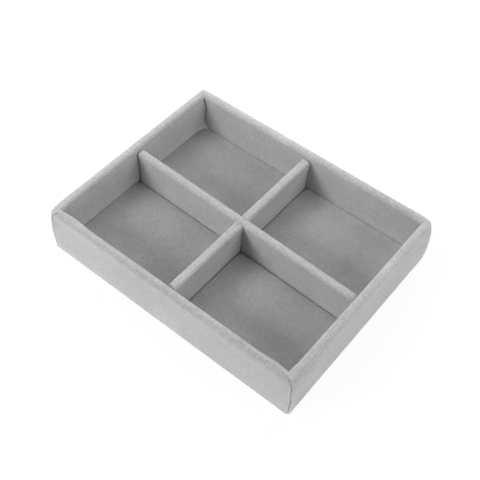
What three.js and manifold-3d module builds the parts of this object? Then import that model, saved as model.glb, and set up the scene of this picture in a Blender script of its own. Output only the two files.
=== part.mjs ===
// A small jewelry display tray: greyboard walls and two crossing dividers, all wrapped in grey
// velvet, with a velvet pad in each of the four compartments. Lengths are in millimetres and +Z is
// up. The origin is at the middle of the underside, and the front is the long wall at -Y.
import * as THREE from "three";
import { mergeVertices } from "three/addons/utils/BufferGeometryUtils.js";
import Module from "manifold-3d";

const wasm = await Module();
wasm.setup();

// Overall size
const trayLength = 122;
const trayWidth = 95;
const trayHeight = 24;

// Thickness of each sheet material
const velvet = 0.75;
const wallBoard = 2.5;
const dividerBoard = 1.5;
const baseBoard = 1.5;
const floorCard = 0.75;
const lining = 0.25;

// Walls: the boards' corners and upper edges are sanded, and the velvet follows them
const outerCornerRadius = 2;
const boardCornerRadius = 2;
const wallBoardEase = 1;
const hemFoldRadius = 1;
const hemWidth = 9;
const mitreRunIn = 2;
const seamGap = 0.3;

// Dividers: how far their tops lie below the rim, where they stand, and how far the long one is
// turned out of square
const dividerDrop = 2;
const dividerBoardEase = 0.5;
const longDividerPlace = -0.5;
const crossDividerPlace = 0.5;
const longDividerTurnDegrees = -1.72;
const lapClearance = 0.25;
const buttClearance = 0.25;

// Floor pads
const padClearance = 0.25;
const padCornerRadius = 1.5;
const padEdgeRadius = 0.5;
const cardClearance = 0.25;

// Lining sheet on the underside
const liningInset = 3;
const liningCornerRadius = 1;

// Overrun of every cut, the distance at which vertices are joined, and the faces on each rounding
const overrun = 1;
const weldDistance = 0.0001;
const arcFaces = 5;
const cornerFaces = 4;

// Sizes and levels that follow from those above
const wallThickness = wallBoard + 2 * velvet;
const innerLength = trayLength - 2 * wallThickness;
const innerWidth = trayWidth - 2 * wallThickness;
const dividerThickness = dividerBoard + 2 * velvet;
const dividerTop = trayHeight - dividerDrop;
const baseBottom = lining + velvet;
const baseTop = baseBottom + baseBoard;
const cardTop = baseTop + floorCard;
const floorTop = cardTop + velvet;
const wallEase = Math.min(wallBoardEase, wallBoard / 2);
const dividerEase = Math.min(dividerBoardEase, dividerBoard / 2);
const longDividerSlope = Math.tan(THREE.MathUtils.degToRad(longDividerTurnDegrees));
const lapLevel = (baseTop + dividerTop - velvet) / 2;

const colours = {
  velvet: { color: 0xb4b4b3, roughness: 0.95, metalness: 0 },
  greyboard: { color: 0x8b857b, roughness: 0.9, metalness: 0 },
  card: { color: 0xd8d5cd, roughness: 0.85, metalness: 0 },
  lining: { color: 0x8f8f8e, roughness: 0.9, metalness: 0 },
};

// A closed geometry as a solid that can be joined and cut
function toSolid(geometry) {
  const bare = geometry.clone();
  bare.deleteAttribute("normal");
  bare.deleteAttribute("uv");
  const merged = mergeVertices(bare, weldDistance);
  const mesh = new wasm.Mesh({
    numProp: 3,
    vertProperties: merged.attributes.position.array,
    triVerts: new Uint32Array(merged.index.array),
  });
  return new wasm.Manifold(mesh);
}

function toGeometry(solid) {
  const { vertProperties, triVerts } = solid.getMesh();
  const geometry = new THREE.BufferGeometry();
  geometry.setAttribute("position", new THREE.BufferAttribute(vertProperties, 3));
  geometry.setIndex(new THREE.BufferAttribute(triVerts, 1));
  geometry.computeVertexNormals();
  return geometry;
}

// A box given by its lowest and highest corners
function box(low, high) {
  const size = high.clone().sub(low);
  const middle = low.clone().add(high).divideScalar(2);
  return new THREE.BoxGeometry(size.x, size.y, size.z).translate(middle.x, middle.y, middle.z);
}

// A skin over a row of rings, closed at both ends. The outline has a ring's points in its own
// plane, counter-clockwise as seen from ahead.
function loft(rings, outline) {
  const count = outline.length;
  const indices = [];
  for (let ring = 0; ring + 1 < rings.length; ring += 1) {
    for (let i = 0; i < count; i += 1) {
      const here = ring * count + i;
      const next = ring * count + ((i + 1) % count);
      indices.push(here, next, next + count);
      indices.push(here, next + count, here + count);
    }
  }
  const last = (rings.length - 1) * count;
  for (const [a, b, c] of THREE.ShapeUtils.triangulateShape(outline, [])) {
    indices.push(a, c, b);
    indices.push(last + a, last + b, last + c);
  }
  const geometry = new THREE.BufferGeometry().setFromPoints(rings.flat());
  geometry.setIndex(indices);
  geometry.computeVertexNormals();
  return geometry;
}

// A flat outline with arcs at its corners, which are listed counter-clockwise
function roundedShape(corners, radius) {
  const shape = new THREE.Shape();
  corners.forEach((corner, i) => {
    const before = corners[(i + corners.length - 1) % corners.length];
    const after = corners[(i + 1) % corners.length];
    const back = before.clone().sub(corner).normalize();
    const ahead = after.clone().sub(corner).normalize();
    const halfAngle = Math.acos(back.dot(ahead)) / 2;
    const inwards = back.clone().add(ahead).normalize();
    const centre = corner.clone().addScaledVector(inwards, radius / Math.sin(halfAngle));
    const tangent = radius / Math.tan(halfAngle);
    const start = corner.clone().addScaledVector(back, tangent).sub(centre).angle();
    const end = corner.clone().addScaledVector(ahead, tangent).sub(centre).angle();
    shape.absarc(centre.x, centre.y, radius, start, end, false);
  });
  return shape;
}

// The same corners with every side moved inwards
function insetCorners(corners, distance) {
  return corners.map((corner, i) => {
    const before = corners[(i + corners.length - 1) % corners.length];
    const after = corners[(i + 1) % corners.length];
    const back = before.clone().sub(corner).normalize();
    const ahead = after.clone().sub(corner).normalize();
    const spread = Math.abs(back.cross(ahead));
    return corner
      .clone()
      .addScaledVector(back, distance / spread)
      .addScaledVector(ahead, distance / spread);
  });
}

function rectangleCorners(length, width) {
  return [
    new THREE.Vector2(-length / 2, -width / 2),
    new THREE.Vector2(length / 2, -width / 2),
    new THREE.Vector2(length / 2, width / 2),
    new THREE.Vector2(-length / 2, width / 2),
  ];
}

function plate(corners, radius, bottom, top) {
  const shape = roundedShape(corners, radius);
  const geometry = new THREE.ExtrudeGeometry(shape, {
    depth: top - bottom,
    bevelEnabled: false,
    curveSegments: cornerFaces,
  });
  return geometry.translate(0, 0, bottom);
}

// A plate whose upper edge is rounded all round
function easedPlate(corners, radius, bottom, top, ease) {
  const levels = [{ inset: 0, z: bottom }];
  for (let step = 0; step <= arcFaces; step += 1) {
    const angle = ((Math.PI / 2) * step) / arcFaces;
    const inset = ease - ease * Math.cos(angle);
    levels.push({ inset, z: top - ease + ease * Math.sin(angle) });
  }
  const outlineAt = (inset) => {
    return roundedShape(insetCorners(corners, inset), radius - inset).getPoints(cornerFaces);
  };
  const rings = levels.map(({ inset, z }) => {
    return outlineAt(inset).map((point) => new THREE.Vector3(point.x, point.y, z));
  });
  return loft(rings, outlineAt(0));
}

// Adds a point wherever an outline crosses the given distance from the outer face
function splitOutline(points, distance) {
  return points.flatMap((point, i) => {
    const next = points[(i + 1) % points.length];
    const before = point.x - distance;
    const after = next.x - distance;
    if (before * after >= 0) {
      return [point];
    }
    return [point, point.clone().lerp(next, before / (before - after))];
  });
}

// The velvet of a wall in cross-section, with x inwards from the outer face and y upwards: the hem
// under the base, the outer leaf, the rim and the inner leaf, which ends on the base
function wallCoverOutline() {
  const rimRadius = wallEase + velvet;
  const fold = Math.min(hemFoldRadius, outerCornerRadius);
  const rimCentre = trayHeight - rimRadius;
  const boardInner = velvet + wallBoard;
  const shape = new THREE.Shape();
  shape.moveTo(hemWidth, lining);
  shape.lineTo(hemWidth, baseBottom);
  shape.lineTo(velvet, baseBottom);
  shape.absarc(rimRadius, rimCentre, wallEase, Math.PI, Math.PI / 2, true);
  shape.absarc(boardInner - wallEase, rimCentre, wallEase, Math.PI / 2, 0, true);
  shape.lineTo(boardInner, baseTop);
  shape.lineTo(wallThickness, baseTop);
  shape.absarc(wallThickness - rimRadius, rimCentre, rimRadius, 0, Math.PI / 2, false);
  shape.absarc(rimRadius, rimCentre, rimRadius, Math.PI / 2, Math.PI, false);
  shape.absarc(fold, lining + fold, fold, Math.PI, (3 * Math.PI) / 2, false);
  return splitOutline(shape.getPoints(arcFaces), outerCornerRadius);
}

// A wall's velvet strip, in the frame of the front wall. It turns half of the rounded corner at
// each end and stops at the mitre, which is opened to the width of the seam.
function wallCover(along, across) {
  const outline = wallCoverOutline();
  const straightEnd = along / 2 - hemWidth - mitreRunIn;
  const place = (x, inwards, z) => new THREE.Vector3(x, inwards - across / 2, z);
  const straightRing = (x) => outline.map((point) => place(x, point.x, point.y));
  const cornerRing = (side, step) => {
    const angle = ((Math.PI / 4) * step) / cornerFaces;
    const share = (step + 1) / (cornerFaces + 1);
    return outline.map((point) => {
      const reach = outerCornerRadius - point.x;
      if (reach < weldDistance) {
        const x = THREE.MathUtils.lerp(straightEnd, along / 2 - point.x, share);
        return place(side * x, point.x, point.y);
      }
      const x = along / 2 - outerCornerRadius + reach * Math.sin(angle);
      return place(side * x, outerCornerRadius - reach * Math.cos(angle), point.y);
    });
  };
  const steps = [...Array(cornerFaces + 1).keys()];
  const rings = [
    ...steps.toReversed().map((step) => cornerRing(-1, step)),
    straightRing(-straightEnd),
    straightRing(straightEnd),
    ...steps.map((step) => cornerRing(1, step)),
  ];
  const seamLength = hemWidth * Math.SQRT2 + 2 * overrun;
  const seamHeight = trayHeight + 2 * overrun;
  return [-1, 1].reduce((cover, side) => {
    const seam = new THREE.BoxGeometry(seamGap, seamLength, seamHeight);
    seam.rotateZ((side * Math.PI) / 4);
    seam.translate((side * (along - hemWidth)) / 2, (hemWidth - across) / 2, trayHeight / 2);
    return cover.subtract(toSolid(seam));
  }, toSolid(loft(rings, outline)));
}

// A wall's board, in the frame of the front wall: a strip with its inner upper edge sanded, cut to
// the block that all four boards make together
function wallBoardSolid(along, across, halfRun) {
  const top = trayHeight - velvet;
  const inner = velvet + wallBoard;
  const shape = new THREE.Shape();
  shape.moveTo(-overrun, baseTop);
  shape.lineTo(inner, baseTop);
  shape.absarc(inner - wallEase, top - wallEase, wallEase, 0, Math.PI / 2, false);
  shape.lineTo(inner - wallEase, top + overrun);
  shape.lineTo(-overrun, top + overrun);
  const outline = shape.getPoints(arcFaces);
  const ringAt = (x) => outline.map((p) => new THREE.Vector3(x, p.x - across / 2, p.y));
  const strip = toSolid(loft([ringAt(-halfRun), ringAt(halfRun)], outline));
  const corners = rectangleCorners(along - 2 * velvet, across - 2 * velvet);
  const block = easedPlate(corners, boardCornerRadius, baseBottom, top, wallEase);
  return strip.intersect(toSolid(block));
}

// Cross-section of a divider's board, or of the velvet folded over it
function dividerBoardOutline() {
  const half = dividerBoard / 2;
  const centre = dividerTop - velvet - dividerEase;
  const shape = new THREE.Shape();
  shape.moveTo(-half, baseTop);
  shape.lineTo(half, baseTop);
  shape.absarc(half - dividerEase, centre, dividerEase, 0, Math.PI / 2, false);
  shape.absarc(dividerEase - half, centre, dividerEase, Math.PI / 2, Math.PI, false);
  return shape.getPoints(arcFaces);
}

function dividerCoverOutline() {
  const inner = dividerBoard / 2;
  const outer = dividerThickness / 2;
  const radius = dividerEase + velvet;
  const centre = dividerTop - radius;
  const shape = new THREE.Shape();
  shape.moveTo(inner, baseTop);
  shape.lineTo(outer, baseTop);
  shape.absarc(outer - radius, centre, radius, 0, Math.PI / 2, false);
  shape.absarc(radius - outer, centre, radius, Math.PI / 2, Math.PI, false);
  shape.lineTo(-outer, baseTop);
  shape.lineTo(-inner, baseTop);
  shape.absarc(dividerEase - inner, centre, dividerEase, Math.PI, Math.PI / 2, true);
  shape.absarc(inner - dividerEase, centre, dividerEase, Math.PI / 2, 0, true);
  return shape.getPoints(arcFaces);
}

// A length of divider section along X, in the plane y = 0
function alongLength(outline, from, to) {
  const ringAt = (x) => outline.map((p) => new THREE.Vector3(x, p.x, p.y));
  return toSolid(loft([ringAt(from), ringAt(to)], outline));
}

// A length of divider section along Y, in the plane x = 0
function alongWidth(outline, from, to) {
  const ringAt = (y) => outline.map((p) => new THREE.Vector3(p.x, y, p.y));
  return toSolid(loft([ringAt(to), ringAt(from)], outline));
}

// Where the long divider's middle plane stands at a given place along the tray
function longDividerAt(x) {
  return longDividerPlace + longDividerSlope * x;
}

// The long divider's pieces are slotted from below, then set out of square
function setLongDivider(solid) {
  const slotHalf = dividerBoard / 2 + lapClearance;
  const low = [crossDividerPlace - slotHalf, -dividerThickness, baseTop - overrun];
  const high = [crossDividerPlace + slotHalf, dividerThickness, lapLevel + lapClearance / 2];
  const slot = box(new THREE.Vector3(...low), new THREE.Vector3(...high));
  const geometry = toGeometry(solid.subtract(toSolid(slot)));
  geometry.applyMatrix4(new THREE.Matrix4().makeShear(longDividerSlope, 0, 0, 0, 0, 0));
  return geometry;
}

// The cross divider's board has its slot from above, wide enough for the covered long divider
function slottedCrossBoard() {
  const crossing = longDividerAt(crossDividerPlace);
  const slotHalf = dividerThickness / 2 + lapClearance;
  const low = [-dividerThickness, crossing - slotHalf, lapLevel - lapClearance / 2];
  const high = [dividerThickness, crossing + slotHalf, trayHeight + overrun];
  const slot = box(new THREE.Vector3(...low), new THREE.Vector3(...high));
  const board = alongWidth(dividerBoardOutline(), -innerWidth / 2, innerWidth / 2);
  return toGeometry(board.subtract(toSolid(slot)));
}

// Corners of a floor pad, between the walls and the dividers, for the compartment on the given
// sides of the crossing
function padCorners(sideX, sideY) {
  const gap = dividerThickness / 2 + padClearance;
  const outerX = sideX * (innerLength / 2 - padClearance);
  const innerX = crossDividerPlace + sideX * gap;
  const outerY = sideY * (innerWidth / 2 - padClearance);
  const innerY = (x) => longDividerAt(x) + sideY * gap;
  const corners = [
    new THREE.Vector2(outerX, outerY),
    new THREE.Vector2(innerX, outerY),
    new THREE.Vector2(innerX, innerY(innerX)),
    new THREE.Vector2(outerX, innerY(outerX)),
  ];
  return sideX * sideY > 0 ? corners : corners.toReversed();
}

function floorCardGeometry(corners) {
  const inset = velvet + cardClearance;
  const radius = Math.max(padCornerRadius - inset, cardClearance);
  return plate(insetCorners(corners, inset), radius, baseTop, cardTop);
}

// The velvet over a card: a rounded pad hollowed from below
function floorCoverGeometry(corners) {
  const edge = Math.min(padEdgeRadius, velvet);
  const pad = toSolid(easedPlate(corners, padCornerRadius, baseTop, floorTop, edge));
  const radius = Math.max(padCornerRadius - velvet, cardClearance);
  const hollow = plate(insetCorners(corners, velvet), radius, baseTop - overrun, cardTop);
  return toGeometry(pad.subtract(toSolid(hollow)));
}

function addMesh(parent, name, geometry, colour) {
  const mesh = new THREE.Mesh(geometry, new THREE.MeshStandardMaterial(colour));
  mesh.name = name;
  parent.add(mesh);
  return mesh;
}

const tray = new THREE.Group();

// Base: the panel inside the wraps, and the lining that hides the hems
const baseCorners = rectangleCorners(trayLength - 2 * velvet, trayWidth - 2 * velvet);
const base = plate(baseCorners, boardCornerRadius, baseBottom, baseTop);
addMesh(tray, "base_board", base, colours.greyboard);
const liningCorners = rectangleCorners(trayLength - 2 * liningInset, trayWidth - 2 * liningInset);
const liningSheet = plate(liningCorners, liningCornerRadius, 0, lining);
addMesh(tray, "base_lining", liningSheet, colours.lining);

// Walls: the long boards run through, and the short ones stand between them
const longRun = trayLength / 2 + overrun;
const shortRun = trayWidth / 2 - velvet - wallBoard;
const walls = [
  { name: "front", quarterTurns: 0, along: trayLength, across: trayWidth, halfRun: longRun },
  { name: "right", quarterTurns: 1, along: trayWidth, across: trayLength, halfRun: shortRun },
  { name: "back", quarterTurns: 2, along: trayLength, across: trayWidth, halfRun: longRun },
  { name: "left", quarterTurns: 3, along: trayWidth, across: trayLength, halfRun: shortRun },
];
for (const { name, quarterTurns, along, across, halfRun } of walls) {
  const wall = new THREE.Group();
  wall.rotation.z = (quarterTurns * Math.PI) / 2;
  const board = toGeometry(wallBoardSolid(along, across, halfRun));
  addMesh(wall, name + "_wall_board", board, colours.greyboard);
  const cover = toGeometry(wallCover(along, across));
  addMesh(wall, name + "_wall_cover", cover, colours.velvet);
  tray.add(wall);
}

// Long divider: its velvet runs unbroken over the crossing
const longDivider = new THREE.Group();
longDivider.position.y = longDividerPlace;
for (const [name, outline, colour] of [
  ["long_divider_board", dividerBoardOutline(), colours.greyboard],
  ["long_divider_cover", dividerCoverOutline(), colours.velvet],
]) {
  const solid = alongLength(outline, -innerLength / 2, innerLength / 2);
  addMesh(longDivider, name, setLongDivider(solid), colour);
}
tray.add(longDivider);

// Cross divider: its velvet is in two pieces that butt against the long divider
const crossDivider = new THREE.Group();
crossDivider.position.x = crossDividerPlace;
addMesh(crossDivider, "cross_divider_board", slottedCrossBoard(), colours.greyboard);
for (const [end, side] of [
  ["front", -1],
  ["back", 1],
]) {
  const wallFace = (side * innerWidth) / 2;
  const butt = longDividerAt(crossDividerPlace) + side * (dividerThickness / 2 + buttClearance);
  const run = [wallFace, butt].toSorted((a, b) => a - b);
  const sleeve = toGeometry(alongWidth(dividerCoverOutline(), ...run));
  addMesh(crossDivider, "cross_divider_cover_" + end, sleeve, colours.velvet);
}
tray.add(crossDivider);

// Floor pads
for (const [depth, sideY] of [
  ["front", -1],
  ["back", 1],
]) {
  for (const [hand, sideX] of [
    ["left", -1],
    ["right", 1],
  ]) {
    const corners = padCorners(sideX, sideY);
    const place = depth + "_" + hand;
    addMesh(tray, "floor_card_" + place, floorCardGeometry(corners), colours.card);
    addMesh(tray, "floor_cover_" + place, floorCoverGeometry(corners), colours.velvet);
  }
}

export default tray;
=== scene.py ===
import math

import bpy
import numpy as np
from mathutils import Matrix, Vector


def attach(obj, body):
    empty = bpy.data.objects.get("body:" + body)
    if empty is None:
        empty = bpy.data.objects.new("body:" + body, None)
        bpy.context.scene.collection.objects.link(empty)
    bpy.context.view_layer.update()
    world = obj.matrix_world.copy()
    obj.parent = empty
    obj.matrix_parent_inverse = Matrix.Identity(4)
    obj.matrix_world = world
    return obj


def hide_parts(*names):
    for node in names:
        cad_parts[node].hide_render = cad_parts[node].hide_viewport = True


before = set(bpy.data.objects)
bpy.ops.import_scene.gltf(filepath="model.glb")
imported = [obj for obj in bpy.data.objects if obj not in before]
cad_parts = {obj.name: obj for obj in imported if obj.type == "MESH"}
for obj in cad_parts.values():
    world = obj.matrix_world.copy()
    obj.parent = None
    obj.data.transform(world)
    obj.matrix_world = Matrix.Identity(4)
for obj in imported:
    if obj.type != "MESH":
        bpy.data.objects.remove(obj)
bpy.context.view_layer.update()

# A small jewelry tray: greyboard walls and two crossing dividers wrapped in grey velvet, with a
# velvet pad in each compartment. Sizes are in millimetres here, and become metres in the meshes.
MM = 0.001

# Sizes that the velvet shares with the boards under it
TRAY_LENGTH = 122.0
TRAY_WIDTH = 95.0
TRAY_HEIGHT = 24.0
VELVET = 0.75
LINING = 0.25
WALL = 4.0
RIM_RADIUS = 1.75
RIM_CREST = 2.5
RIM_DROP = 2.6
FOLD_RADIUS = 1.0
HEM_WIDTH = 9.0
HEM_BOTTOM = 0.25
BASE_TOP = 2.5
DIVIDER = 3.0
DIVIDER_TOP = 22.0
DIVIDER_RADIUS = 1.25
LONG_DIVIDER_Y = -0.5
CROSS_DIVIDER_X = 0.5
LONG_DIVIDER_SLOPE = math.tan(math.radians(-1.72))
NOTCH_HALF = 1.0
NOTCH_TOP = 12.0
LINING_INSET = 3.0
LINING_RADIUS = 1.0
INNER_LENGTH = TRAY_LENGTH - 2 * WALL
INNER_WIDTH = TRAY_WIDTH - 2 * WALL

# How finely the cloth is laid out, how it ends, how near it comes to what it touches, and how far
# in it can be pressed at most
STEP = 0.5
ARC_POINTS = 9
DIVIDER_ARC_POINTS = 13
END_RUN = 13.0
END_COLUMNS = 34
END_CROWDING = 1.5
END_MARGINS = np.array([0.06, 0.15, 0.28])
CLOTH_CONTACT = 0.05
THINNEST = 0.65
TINY = 1e-6

# Lumps of the pile: side of each size of lump and how far it stands up or down, then the cells
# of their table each way and the turn of their grid
PILE_LUMPS = ((17.0, 0.07), (6.5, 0.04), (2.6, 0.02), (1.2, 0.01))
LUMP_TABLE = 64
LUMP_TURN = np.array([[2, -2, 1], [1, 2, 2], [-2, -1, 2]]) / 3

# Puckers beside the crossing and at the front left corner: place, size, depth, how much painted
# shade darkens them, and the columns that are added there
CROSS_PUCKER = (0.65, -3.2, 22.0)
FRONT_PUCKER = (-58.1, -46.5, 24.0)
PUCKER_SIZE = 0.65
CROSS_PUCKER_DEPTH = 0.64
FRONT_PUCKER_DEPTH = 0.6
PUCKER_SHADE = 2.2
PUCKER_COLUMNS = np.linspace(-0.8, 0.8, 13)

# Pads: their top, soft edge, plan corners and crown, and how far in their relief starts. They push
# in the foot of what stands round them by these depths, up to the foot height, and keep a small
# gap to it. The front right pad is pulled off the long divider a little more at the crossing. The
# long divider's front face bulges at its foot more and more towards its left end, where the
# front left pad gives way to it.
PAD_TOP = 4.3
PAD_EDGE = 0.6
PAD_RADIUS = 2.5
BACK_LEFT_PAD_RADIUS = 3.6
PAD_CROWN = 0.12
PAD_CROWN_END = 12.0
PAD_RELIEF_START = 0.1
FOOT_HEIGHT = dict(front=11.0, right=11.0, back=11.0, left=19.0, long=11.0, cross=11.0)
FOOT_PRESS = dict(front=0.2, right=0.2, back=0.45, left=0.6, long=0.15, cross=0.5)
PAD_GAP = dict(front=0.1, right=0.1, back=0.0, left=0.03, long=0.17, cross=0.25)
PAD_PULL = 0.3
LONG_BULGE = 0.4

# The pile: how far it opens on the pads, round the walls' rims and on their outer leaves, the
# heights over which it opens on the rims and on the dividers' tops, and how much lighter the
# colour gets for each unit of painted light and tone
PAD_PILE = 0.35
WALL_PILE = 0.4
OUTER_PILE = dict(front=-0.27, right=0.6, back=0.1, left=0.1)
OPEN_RIM = (TRAY_HEIGHT - RIM_RADIUS, TRAY_HEIGHT - 0.3)
OPEN_TOP = (DIVIDER_TOP - DIVIDER_RADIUS, DIVIDER_TOP - 0.2)
PALE_SHARE = 0.09

# Camera: where it looks, how far off it stands, its angles, its lens and sensor, and how near it
# sees, in metres
CAMERA_TARGET = (1.68, -2.73, 12.0)
CAMERA_DISTANCE = 337.81
CAMERA_AZIMUTH = 37.471
CAMERA_ELEVATION = 52.112
CAMERA_ROLL = 2.040
CAMERA_LENS = 62.0655
SENSOR_WIDTH = 36
CLIP_START = 0.01

# Light. Each lamp's azimuth (zero in front of the tray, growing to the right) and elevation in
# degrees, its strength at the tray, its width in degrees as seen from there, and its distance in
# metres
LAMPS = {
    "key_lamp": (-24, 33, 1.28, 25, 0.6),
    "key_left_lamp": (-28, 36, 0.64, 14, 0.6),
    "key_right_lamp": (-12, 35, 0.22, 14, 0.6),
    "back_lamp": (190, 28, 1.4, 40, 0.5),
    "back_left_lamp": (212, 28, 0.82, 34, 0.5),
    "right_lamp": (91, 28, 1.47, 40, 0.6),
    "left_lamp": (-65, 25, 0.58, 34, 0.5),
    "low_lamp": (84, 7, 0.31, 30, 1.6),
    "lower_lamp": (96, 4, 0.27, 12, 0.35),
    "top_lamp": (180, 62, 0.53, 40, 0.5),
    "upper_left_lamp": (-90, 60, 0.39, 40, 0.4),
}
DOME_STRENGTH = 0.02

# Floor: half its side and its height in metres, its grey, and the share of plain white in what
# the camera sees of it
FLOOR_HALF = 2.5
FLOOR_LEVEL = -0.00005
FLOOR_GREY = 0.94
FLOOR_WHITE = 0.93


def lumps(points, side, seed):
    """Smooth random heights from -1 to 1: every corner of a grid of cubes with the given side
    has a random height, and a point takes those of the eight corners round it, each weighted by
    a smooth step in the three directions. The grid stands askew, so that it follows no wall."""
    scaled = points @ LUMP_TURN / side
    corner = np.floor(scaled).astype(int)
    share = scaled - corner
    share = share * share * (3 - 2 * share)
    table = np.random.default_rng(seed).uniform(-1, 1, (LUMP_TABLE,) * 3)
    height = np.zeros(points.shape[:-1])
    for step in np.ndindex(2, 2, 2):
        at = (corner + step) % LUMP_TABLE
        weight = np.prod(np.where(step, share, 1 - share), axis=-1)
        height += weight * table[at[..., 0], at[..., 1], at[..., 2]]
    return height


def pile_height(points):
    """The pile's relief: lumps of four sizes added up."""
    sizes = enumerate(PILE_LUMPS)
    return sum(height * lumps(points, side, seed) for seed, (side, height) in sizes)


def run_line(start, end):
    """A straight run of a section: points one step apart from start to end, each with the
    direction square to the run, on its left."""
    start, end = np.array(start, float), np.array(end, float)
    length = np.linalg.norm(end - start)
    share = np.linspace(0, 1, 1 + max(1, round(length / STEP)))[:, None]
    left = (end - start)[::-1] * (-1, 1) / length
    return start + share * (end - start), np.repeat(left[None], len(share), axis=0)


def run_arc(centre, radii, first, last, count=ARC_POINTS):
    """A bend of a section: points on an ellipse with the two radii, from the first angle to the
    last, in degrees. Each comes with the direction square to the ellipse there, which is the
    point's own direction with each part divided by its radius."""
    angle = np.radians(np.linspace(first, last, count))
    circle = np.stack([np.cos(angle), np.sin(angle)], axis=1)
    radii = np.array(radii) * (1, 1)
    square = circle / radii
    outward = square / np.linalg.norm(square, axis=1, keepdims=True)
    return np.array(centre) + radii * circle, outward


def joined(*runs):
    """The runs one after another, each without its last point except the final one."""
    points = [run[0][:-1] for run in runs[:-1]] + [runs[-1][0]]
    outward = [run[1][:-1] for run in runs[:-1]] + [runs[-1][1]]
    return np.concatenate(points), np.concatenate(outward)


def rolled_edge(distance, width, depth):
    """How far a cloth's edge turns in at a distance from its end: a quarter of an ellipse,
    nothing at the full width and the whole depth at the end itself."""
    share = np.clip(1 - distance / width, 0, 1)
    return depth * (1 - np.sqrt(1 - share * share))


def bump(distance, width):
    """A bell shape of height one, the given width to each side."""
    return np.exp(-((distance / width) ** 2))


def pit(distance, width):
    """Like the bell, with a flat middle and steep sides."""
    return np.exp(-((distance / width) ** 4))


def smooth_step(value, low, high):
    """Nothing below the low value, one above the high one, and a smooth rise between."""
    share = np.clip((value - low) / (high - low), 0, 1)
    return share * share * (3 - 2 * share)


def rising(value, amount, low, high):
    """Nothing below the low value, the whole amount above the high one, smooth between."""
    return amount * smooth_step(value, low, high)


def falling(value, amount, low, high):
    """The whole amount below the low value, nothing above the high one, smooth between."""
    return amount * smooth_step(-value, -high, -low)


def bell(value, amount, middle, width):
    """A bell of the given height round the middle value."""
    return amount * bump(value - middle, width)


def spot(depth, height, amount, spot_depth, spot_height, width):
    """A bell of the given amount round a point of a wall's section."""
    return amount * bump(np.hypot(depth - spot_depth, height - spot_height), width)


def pucker(points, place):
    """A pit of depth one round a place in the tray."""
    return pit(np.linalg.norm(points - place, axis=-1), PUCKER_SIZE)


def cloth_object(name, seen, glued, nodes, material, kept=None, opened=0.0, pale=0.0):
    """A cloth as one closed mesh. The seen and the glued face are two grids of points that match
    row by row and column by column. The mesh has every kept cell of the seen face, the same cell
    of the glued face turned over, and a narrow strip along each edge where a kept cell ends. Two
    values per point say how far the pile is opened by a bend, and how much lighter or darker its
    colour is made, mostly by painted light and shade."""
    rows, columns = seen.shape[:2]
    if kept is None:
        kept = np.ones((rows - 1, columns - 1), bool)
    index = np.arange(rows * columns).reshape(rows, columns)
    corners = (slice(0, -1), slice(1, None))
    a, b = index[corners[0], corners[0]], index[corners[0], corners[1]]
    c, d = index[corners[1], corners[1]], index[corners[1], corners[0]]
    shift = rows * columns
    faces = [np.stack([a, b, c, d], -1)[kept], np.stack([d, c, b, a], -1)[kept] + shift]
    around = np.pad(kept, 1)
    middle = around[1:-1, 1:-1]
    neighbours = (
        (around[:-2, 1:-1], b, a),
        (around[2:, 1:-1], d, c),
        (around[1:-1, :-2], a, d),
        (around[1:-1, 2:], c, b),
    )
    strips = [
        np.stack([start, end, end + shift, start + shift], -1)[middle & ~beside]
        for beside, start, end in neighbours
    ]
    quads = np.concatenate(faces + strips)
    used = np.unique(quads)
    renumber = np.zeros(2 * shift, int)
    renumber[used] = np.arange(len(used))
    points = np.concatenate([seen.reshape(-1, 3), glued.reshape(-1, 3)])[used] * MM
    smooth = np.zeros(len(quads), bool)
    smooth[: len(faces[0]) + len(faces[1])] = True
    mesh = bpy.data.meshes.new(name)
    mesh.vertices.add(len(points))
    mesh.vertices.foreach_set("co", points.ravel())
    mesh.loops.add(quads.size)
    mesh.loops.foreach_set("vertex_index", renumber[quads].ravel())
    mesh.polygons.add(len(quads))
    mesh.polygons.foreach_set("loop_start", np.arange(0, quads.size, 4))
    mesh.polygons.foreach_set("use_smooth", smooth)
    mesh.materials.append(material)
    mesh.update(calc_edges=True)
    mesh.validate()
    # The second value is painted light and shade, with some plain tone, for the velvet's colour
    for attribute_key, value in (("opened_pile", opened), ("tone_and_painted_light", pale)):
        both = np.tile(np.broadcast_to(value, (rows, columns)).ravel(), 2)[used]
        mesh.attributes.new(attribute_key, "FLOAT", "POINT").data.foreach_set("value", both)
    piece = bpy.data.objects.new(name, mesh)
    bpy.context.scene.collection.objects.link(piece)
    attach(piece, "root")
    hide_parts(*nodes)
    return piece


# Walls

# A feature's numbers are its amount, then the two values between which it comes or goes, or for a
# bell its middle and its width. These are heights, or places along the tray's length or width
# where the name or comment says towards which end.

# The four upright corners: plan radius of the velvet at the foot and at the rim, how deep and wide
# the groove of the seam is, its share that is left on the rim and how much painted shade darkens
# it there, how far its turned edge stands up, how far the corner is worn down at the rim, and
# how far it swells out below
CORNERS = {
    "front_right": dict(
        radius=1.5, top_radius=1.5, groove=0.36, gap=0.04, rim_seam=1.6, shade=0.85, turned=0.16,
        worn=0.3, swell=0.0,
    ),
    "back_right": dict(
        radius=2.2, top_radius=2.2, groove=0.0, gap=0.0, rim_seam=0.6, shade=0.0, turned=0.0,
        worn=0.6, swell=0.95,
    ),
    "back_left": dict(
        radius=1.8, top_radius=1.8, groove=0.0, gap=0.0, rim_seam=0.6, shade=0.0, turned=0.0,
        worn=0.1, swell=0.1,
    ),
    "front_left": dict(
        radius=0.7, top_radius=1.6, groove=0.65, gap=0.2, rim_seam=0.6, shade=1.4, turned=0.0,
        worn=0.5, swell=0.3,
    ),
}

# Heights over which a corner's radius changes, and the reach of the wear and of the swelling
ROUNDING = (10.0, 22.0)
WORN_WIDTH = 3.2
WORN_HEIGHTS = (17.5, 23.0)
SWELL_WIDTH = 5.5
SWELL_HEIGHT = 11.0
SWELL_REACH = 9.5
SWELL_FOOT = (HEM_BOTTOM, 2.0)

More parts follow.
